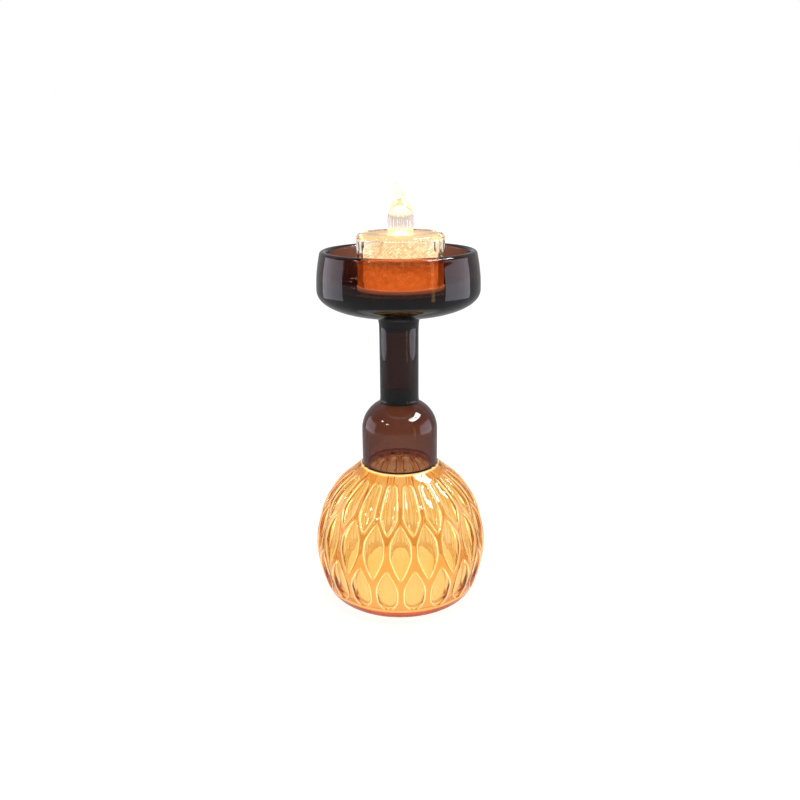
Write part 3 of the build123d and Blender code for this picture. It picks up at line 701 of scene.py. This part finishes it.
# The socket under the flame for the lamp, above its mouth: height in the candle and radius.
SOCKET_MOUTH_R = 3.1
SOCKET = [(24, 3.1), (26, 3.2), (27.5, 3.3), (29, 3.4), (31, 3.4), (32.6, 3.2), (33.5, 2.5), (34.0, 1.2)]
NECK_R, NECK_FLANGE_R = 5.4, 7.8


def flame_rings():
    """The clear flame: round rings that narrow and lean to one side, fluted inside its socket."""
    outline = np.array(FLAME_OUTLINE)
    shape = smooth_curve(outline[:, :2], FLAME_ROWS)
    lean = np.interp(shape[:, 0], outline[:, 0], outline[:, 2])[:, None]
    turn = full_turn(FLAME_COLUMNS)
    radius = shape[:, 1:] + 0 * turn
    height = FLAME_BASE + shape[:, :1] + 0 * turn
    outside = np.stack([lean + radius * np.cos(turn), radius * np.sin(turn), height], -1)
    low = FLAME_LOW[2] - CANDLE_Z
    neck = rings(np.array([
        (SOCKET_MOUTH_R, low + 0.1), (NECK_FLANGE_R, low + 0.1), (NECK_FLANGE_R, low + 1.1),
        (NECK_R, low + 1.3), (NECK_R, FLAME_BASE - 0.8),
    ]), turn)
    socket_line = np.array([(low + 0.2, SOCKET_MOUTH_R), *SOCKET])
    socket_r = socket_line[:, 1:] * (1 + FLUTE_DEPTH * np.cos(FLUTES * turn))
    socket_z = socket_line[:, :1] + 0 * turn
    socket = np.stack([socket_r * np.cos(turn), socket_r * np.sin(turn), socket_z], -1)
    return np.concatenate([socket[::-1], neck, outside])


def height_in_candle(tree, low, high):
    """How far up between two heights of the tealight a point lies, from 0 to 1."""
    place = add(tree, "ShaderNodeTexCoord").outputs["Object"]
    height = add(tree, "ShaderNodeSeparateXYZ", Vector=place).outputs["Z"]
    span = add(
        tree, "ShaderNodeMapRange", Value=height,
        From_Min=(CANDLE_Z + low) * MM, From_Max=(CANDLE_Z + high) * MM,
    )
    return span.outputs["Result"]


def glowing_plastic(name):
    """The lit flame: clear polystyrene, white hot where the lamp's light enters at its base, with
    a pale yellow core above the socket that takes the blue out of what is seen through it."""
    material, tree, out = new_material(name)
    share = height_in_candle(tree, FLAME_BASE, FLAME_BASE + FLAME_GLOW_TALL)
    tint = ramp(tree, share, [
        (0.0, "#FFF6DC"), (0.08, "#E9E1DE"), (0.33, "#E6DFDA"), (0.40, "#FFFBE0"),
        (0.70, "#FFFBDC"), (0.95, "#FFFFFA"),
    ])
    light = ramp(tree, share, [
        (0.0, "#A88A58"), (0.06, "#6A5A40"), (0.14, "#3A342C"), (0.34, "#3A3424"),
        (0.40, "#C8C090"), (0.65, "#BCB482"), (0.85, "#605C48"),
    ])
    plastic = add(
        tree, "ShaderNodeBsdfPrincipled", Roughness=0.0, IOR=1.5, Transmission_Weight=1.0,
        Base_Color=tint, Emission_Color=light, Emission_Strength=0.7,
    )
    tree.links.new(plastic.outputs["BSDF"], out.inputs["Surface"])
    return material


def shell_plastic(name):
    """The thick clear shell: polystyrene whose lower wall has a painted warm glow for the lamp's light that
    it pipes.
    """
    material, tree, out = new_material(name)
    place = add(tree, "ShaderNodeTexCoord").outputs["Object"]
    share = height_in_candle(tree, 0.0, 20.0)
    # Painted glow: the lower wall shines orange as emission, though it is no lamp.
    light = ramp(tree, share, [(0.1, "#C07828"), (0.6, "#9A5A1C"), (0.75, "#000000")])
    plastic = add(
        tree, "ShaderNodeBsdfPrincipled", Roughness=0.0, IOR=1.5, Transmission_Weight=1.0,
        Base_Color=linear("#FFFDF8"), Normal=flow_marks(tree, place),
        Emission_Color=light, Emission_Strength=0.8,
    )
    tree.links.new(plastic.outputs["BSDF"], out.inputs["Surface"])
    return material


def sparkle_plastic(name):
    """The lit liner: prisms in clear polystyrene that throw the lamp's warm light about.

    Every prism has its own brightness, kept on its points with the light that reaches it there.
    """
    material, tree, out = new_material(name)
    sparkle = add(tree, "ShaderNodeAttribute", {"attribute_name": "sparkle"}).outputs["Fac"]
    light = add(tree, "ShaderNodeAttribute", {"attribute_name": "light"}).outputs["Fac"]
    low = ramp(tree, sparkle, [(0.0, "#E07818"), (0.45, "#F09028"), (0.75, "#FFC060"), (1.0, "#FFF0C0")])
    high = ramp(tree, sparkle, [(0.0, "#EAC08A"), (0.5, "#F6D09A"), (0.75, "#FFE8C4"), (1.0, "#FFF8E8")])
    share = height_in_candle(tree, 12.0, 17.0)
    colour = add(tree, "ShaderNodeMix", {"data_type": "RGBA"}, Factor=share, in_6=low, in_7=high)
    plastic = add(
        tree, "ShaderNodeBsdfPrincipled", Roughness=0.15, IOR=1.5, Transmission_Weight=0.25,
        Base_Color=linear("#D8BC90"), Emission_Color=colour.outputs[2], Emission_Strength=light,
    )
    tree.links.new(plastic.outputs["BSDF"], out.inputs["Surface"])
    return material


BASE_GRAIN_MM = 0.15            # spark-eroded grain of the base's mould


def lit_base_plastic(name):
    """The base cup: milky polystyrene, lit from within, so that its flange glows amber."""
    material, tree, out = new_material(name)
    share = height_in_candle(tree, 0.0, 3.0)
    light = ramp(tree, share, [(0.0, "#1E1206"), (0.25, "#C98A46"), (0.9, "#E8B070"), (0.97, "#FFE2B0")])
    place = add(tree, "ShaderNodeTexCoord").outputs["Object"]
    grain = add(tree, "ShaderNodeTexNoise", Vector=place, Scale=1 / (BASE_GRAIN_MM * MM), Detail=2.0)
    bump = add(tree, "ShaderNodeBump", Strength=0.4, Distance=GRAIN_DEEP * MM, Height=grain.outputs["Fac"])
    plastic = add(
        tree, "ShaderNodeBsdfPrincipled", Base_Color=linear("#EFE8D8"), Roughness=0.35, IOR=1.5,
        Emission_Color=light, Emission_Strength=1.6, Normal=bump.outputs["Normal"],
    )
    tree.links.new(plastic.outputs["BSDF"], out.inputs["Surface"])
    return material


def lit_lamp(name):
    """Warm white lamp in clear epoxy, lit: too bright to look into."""
    material, tree, out = new_material(name)
    plastic = add(
        tree, "ShaderNodeBsdfPrincipled", Roughness=0.15, IOR=1.53, Base_Color=linear("#FFF0C8"),
        Emission_Color=linear("#FFE7B4"), Emission_Strength=2.2,
    )
    tree.links.new(plastic.outputs["BSDF"], out.inputs["Surface"])
    return material


def make_tealight(rng):
    """The candle's clear pieces as fine surfaces; its inner pieces keep their shape."""
    place = (CANDLE_X, 0, CANDLE_Z)
    piece("candle_shell_clear", "tealight", ["candle_shell"],
          shell_plastic("clear_polystyrene_painted_glow"), [(candle_shell_rings(), True)], place)
    liner, marks = sparkle_liner_rings(rng)
    piece("sparkle_liner_prisms", "tealight", ["sparkle_liner"],
          sparkle_plastic("lit_prismatic_polystyrene"), [(liner, True)], place, marks)
    piece("flame_clear", "tealight", ["flame_lens"],
          glowing_plastic("lit_flame_polystyrene"), [(flame_rings(), False)], place)
    white = moulded_plastic("moulded_white_abs", "#E9E5DA", "#DDD8CB", 0.35, 0.12)
    black = moulded_plastic("moulded_black_nylon", "#1C1C1E", "#121214", 0.5, 0.12)
    red = moulded_plastic("extruded_red_pvc", "#A5221B", "#8E1B16", 0.3, 0.2)
    nickel = sheet_metal("nickel_plated_steel", "#C9C8C4", "#A8A7A2", 0.22, 0.05)
    cell = sheet_metal("drawn_stainless_steel", "#CBCBCB", "#B2B2B1", 0.18, 0.08)
    brass = sheet_metal("stamped_brass", "#D9B765", "#B89348", 0.25, 0.06)
    finishes = {
        "led_lamp": lit_lamp("lit_warm_white_epoxy"), "led_leads": nickel,
        "base_cup": lit_base_plastic("lit_milky_polystyrene"),
        "switch_case": nickel, "switch_terminals": brass, "switch_knob": black, "lead_wires": red,
        "side_contact": brass, "spring_contact": nickel, "cell_can": cell, "cell_gasket": black,
        "cell_cap": cell, "battery_door": white, "base_screws": nickel,
    }
    for node, material in finishes.items():
        NODES[node].data.materials.clear()
        NODES[node].data.materials.append(material)


# ------------------------------------------------------------------ studio

CAMERA_PLACE = (0.00025, -0.339, 0.1976)    # metres
CAMERA_DOWN = 17.17             # degrees
CAMERA_ROLL = 0.45
CAMERA_LENS = 35.5
CAMERA_SENSOR = 36
TABLE_HALF = 6.0                # metres
TABLE_DROP = 0.0002             # a hair under the glass, so that the two faces don't coincide
NEAR, FAR = 0.45, 0.9           # metres from the stem to its panels, and to the windows and lamps
PANE, PANE_LIGHT = (0.34, 0.22), 20.0
GLINT_LIGHT = 30.0
SUN_STRENGTH = 0.6
SUN_WIDTH = 60                  # degrees
LIGHT_BOUNCES = 32              # light crosses many glass walls


def make_camera():
    """A camera close in front and above, tipped down to the stem."""
    data = bpy.data.cameras.new("camera")
    data.sensor_width = CAMERA_SENSOR
    data.lens = CAMERA_LENS
    camera = bpy.data.objects.new("camera", data)
    bpy.context.scene.collection.objects.link(camera)
    down, roll = np.radians([CAMERA_DOWN, CAMERA_ROLL])
    ahead = Vector((0, np.cos(down), -np.sin(down)))
    turn = ahead.to_track_quat("-Z", "Y").to_matrix().to_4x4()
    camera.matrix_world = Matrix.Translation(CAMERA_PLACE) @ turn @ Matrix.Rotation(-roll, 4, "Z")
    bpy.context.scene.camera = camera


def box_at(name, azimuth, elevation, distance, size, radiance, colour="#FFFFFF", only_mirrored=False):
    """A soft box that faces the stem from an azimuth (0 is the front, 90 the right) and elevation.

    One that is only mirrored shows as a highlight in the glass and throws no light on the table.
    """
    turn, rise = np.radians([azimuth, elevation])
    middle = Vector((0, 0, STEM_HIGH[2] * MM))
    away = Vector((np.sin(turn) * np.cos(rise), -np.cos(turn) * np.cos(rise), np.sin(rise))) * distance
    data = bpy.data.lights.new(name, "AREA")
    data.shape = "RECTANGLE"
    data.size, data.size_y = size
    data.energy = radiance * np.pi * size[0] * size[1]
    data.color = linear(colour)[:3]
    light = bpy.data.objects.new(name, data)
    bpy.context.scene.collection.objects.link(light)
    light.location = middle + away
    light.rotation_mode = "QUATERNION"
    light.rotation_quaternion = (-away).to_track_quat("-Z", "Y")
    light.visible_camera = False
    if only_mirrored:
        light.visible_diffuse = False
        light.visible_transmission = False


def mirrored_only(tree):
    """1 for light that a surface mirrors, and 0 for light that comes straight or through glass."""
    path = add(tree, "ShaderNodeLightPath").outputs
    both = add(
        tree, "ShaderNodeMath", {"operation": "MULTIPLY"},
        in_0=path["Is Glossy Ray"], in_1=path["Is Reflection Ray"],
    )
    return both.outputs["Value"]


def straight_or_not(tree, straight, through, mirrored):
    """Picks a colour for light seen straight, seen through glass, or mirrored."""
    camera = add(tree, "ShaderNodeLightPath").outputs["Is Camera Ray"]
    seen = add(tree, "ShaderNodeMix", {"data_type": "RGBA"}, Factor=camera, in_6=through, in_7=straight)
    either = add(
        tree, "ShaderNodeMix", {"data_type": "RGBA"},
        Factor=mirrored_only(tree), in_6=seen.outputs[2], in_7=mirrored,
    )
    return either.outputs[2]


def make_table():
    """The pale table, lit from within a little, whose mirror image is bright only near the globe."""
    material, tree, out = new_material("pale_table")
    place = add(tree, "ShaderNodeTexCoord").outputs["Object"]
    reach = add(tree, "ShaderNodeVectorMath", {"operation": "LENGTH"}, Vector=place).outputs["Value"]
    dim = ramp(tree, reach, [(0.070, "#E0DCD8"), (0.095, "#5A5A5C")])
    glow = straight_or_not(tree, linear("#E6E6E6"), linear("#DAD8D6"), dim)
    table_top = add(
        tree, "ShaderNodeBsdfPrincipled", Base_Color=linear("#A0A0A0"), Roughness=0.9,
        Emission_Color=glow, Emission_Strength=1.0,
    )
    tree.links.new(table_top.outputs["BSDF"], out.inputs["Surface"])
    mesh = bpy.data.meshes.new("table")
    signs = [(-1, -1), (1, -1), (1, 1), (-1, 1)]
    mesh.from_pydata([(TABLE_HALF * x, TABLE_HALF * y, -TABLE_DROP) for x, y in signs], [], [(0, 1, 2, 3)])
    table = bpy.data.objects.new("table", mesh)
    table.data.materials.append(material)
    bpy.context.scene.collection.objects.link(table)


def make_surround():
    """A white tent whose front is open to a darker room, which shows in what the glass mirrors."""
    world = bpy.data.worlds.new("studio")
    world.use_nodes = True
    tree = world.node_tree
    tree.nodes.clear()
    direction = add(tree, "ShaderNodeTexCoord").outputs["Generated"]
    way = add(tree, "ShaderNodeSeparateXYZ", Vector=direction).outputs
    through = ramp(tree, way["Z"], [(0.0, "#FEFCFA"), (0.3, "#FEFCFA"), (0.5, "#E8E6E4"), (0.8, "#B0AEAC")])
    depth = add(tree, "ShaderNodeMapRange", Value=way["Y"], From_Min=-1.0, From_Max=1.0).outputs["Result"]
    reflected = ramp(tree, depth, [(0.2, "#38383A"), (0.5, "#58585C"), (0.8, "#B0B0B4")])
    colour = straight_or_not(tree, linear("#FFFFFF"), through, reflected)
    surround = add(tree, "ShaderNodeBackground", Color=colour, Strength=1.0)
    out = add(tree, "ShaderNodeOutputWorld")
    tree.links.new(surround.outputs["Background"], out.inputs["Surface"])
    bpy.context.scene.world = world


def make_lights():
    """Soft light all round, a panel at each side, and the windows and lamps that the glass mirrors."""
    data = bpy.data.lights.new("overall", "SUN")
    data.energy = SUN_STRENGTH
    data.angle = np.radians(SUN_WIDTH)
    sun = bpy.data.objects.new("overall", data)
    bpy.context.scene.collection.objects.link(sun)
    box_at("left_panel", -102, -2, NEAR, (0.37, 0.24), 1.5, "#F4F0FF")
    box_at("right_panel", 88, -2, NEAR, (0.40, 0.24), 1.8, "#F6F2FF")
    for side, azimuth in (("left", 60), ("right", 92)):
        box_at(f"window_{side}_pane", azimuth, 45, FAR, PANE, PANE_LIGHT, only_mirrored=True)
    box_at("left_high_lamp", -67, 34, FAR, (0.10, 0.08), GLINT_LIGHT, only_mirrored=True)
    box_at("left_low_lamp", -43, 31, FAR, (0.12, 0.04), GLINT_LIGHT, only_mirrored=True)
    box_at("warm_strip", 46, -4, NEAR, (0.04, 0.34), 2.0, "#FFC080", only_mirrored=True)


def let_light_through():
    """Lets light cross all the glass walls, and keeps the colours as they are."""
    scene = bpy.context.scene
    scene.view_settings.view_transform = "Standard"
    scene.cycles.max_bounces = LIGHT_BOUNCES
    scene.cycles.transmission_bounces = LIGHT_BOUNCES
    scene.cycles.transparent_max_bounces = 16


rng = np.random.default_rng(7)
make_camera()
make_table()
make_surround()
make_lights()
let_light_through()
make_holder()
make_tealight(rng)
